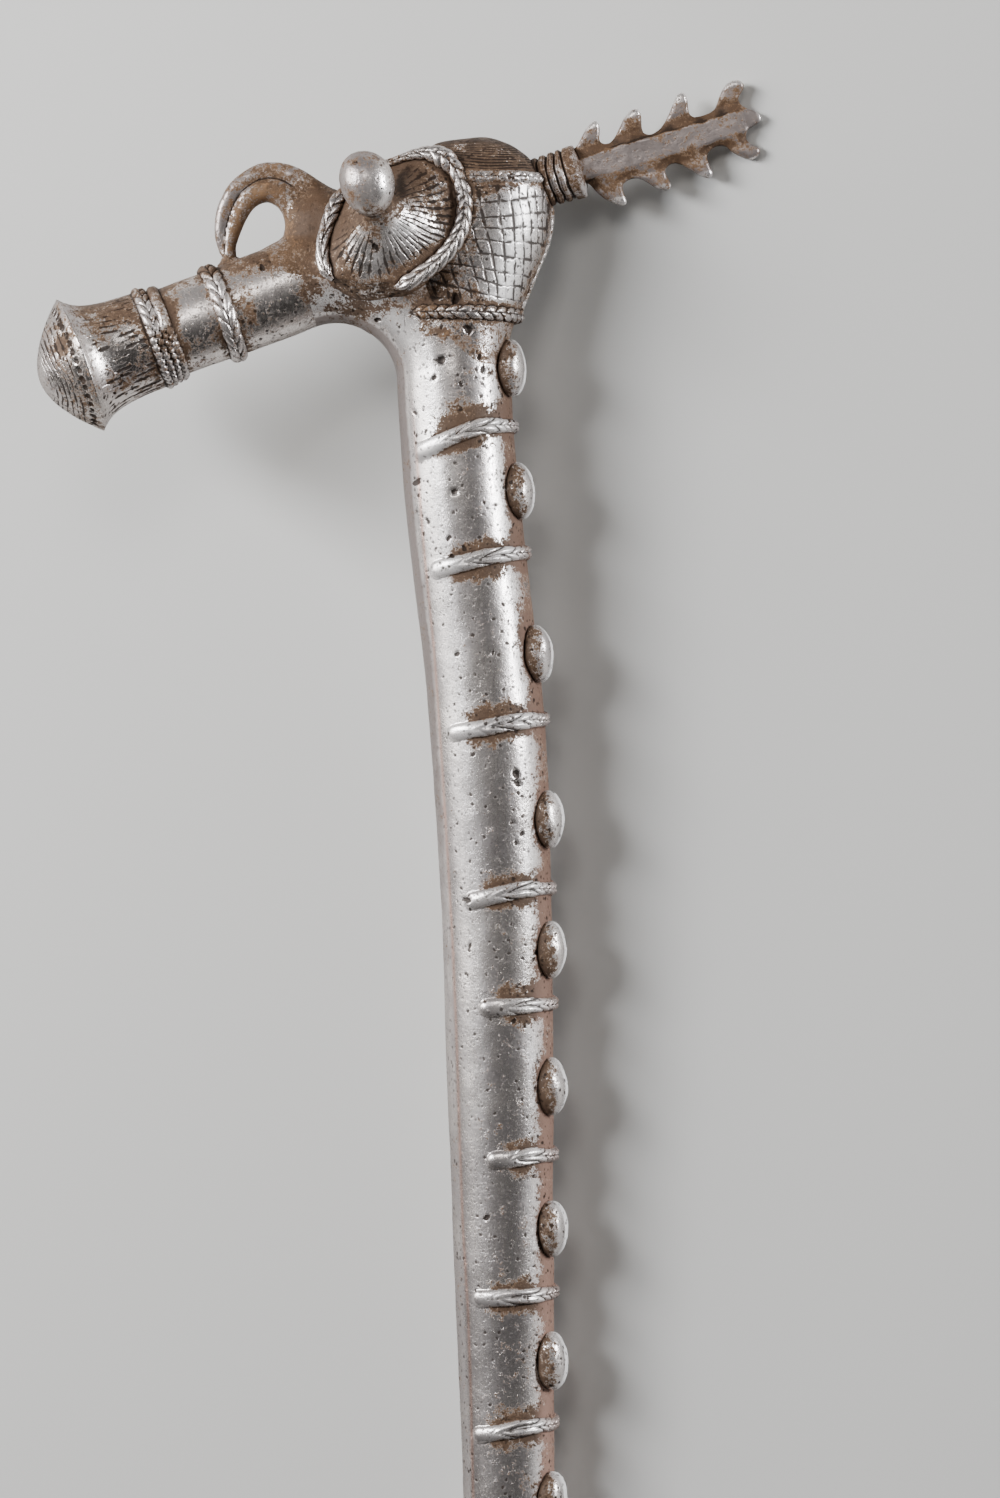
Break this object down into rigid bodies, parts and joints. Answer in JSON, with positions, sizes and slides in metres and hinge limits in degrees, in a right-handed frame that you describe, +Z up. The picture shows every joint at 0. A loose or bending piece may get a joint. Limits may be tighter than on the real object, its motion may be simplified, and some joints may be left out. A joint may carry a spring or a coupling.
{
  "type": "ceremonial club",
  "caption": "Hooked metal club cast in one piece: knobbed muzzle arm, horn loop, turret eyes, toothed crest, and a round shaft with rope bands and domed bosses.",
  "frame": {"origin": "middle of the underside's bounding box, on the ground that the club lies on", "axes": "+Y runs up the shaft from the foot to the head, +X points from the muzzle to the crest, +Z is up, away from the ground"},
  "size_m": [0.185, 0.5098, 0.08],
  "materials": {
    "cast_white_metal": "worn silvery casting, polished on the high places and brown with patina in the recesses"
  },
  "bodies": {
    "root": {"ceremonial_club": "cast_white_metal"}
  },
  "joints": []
}
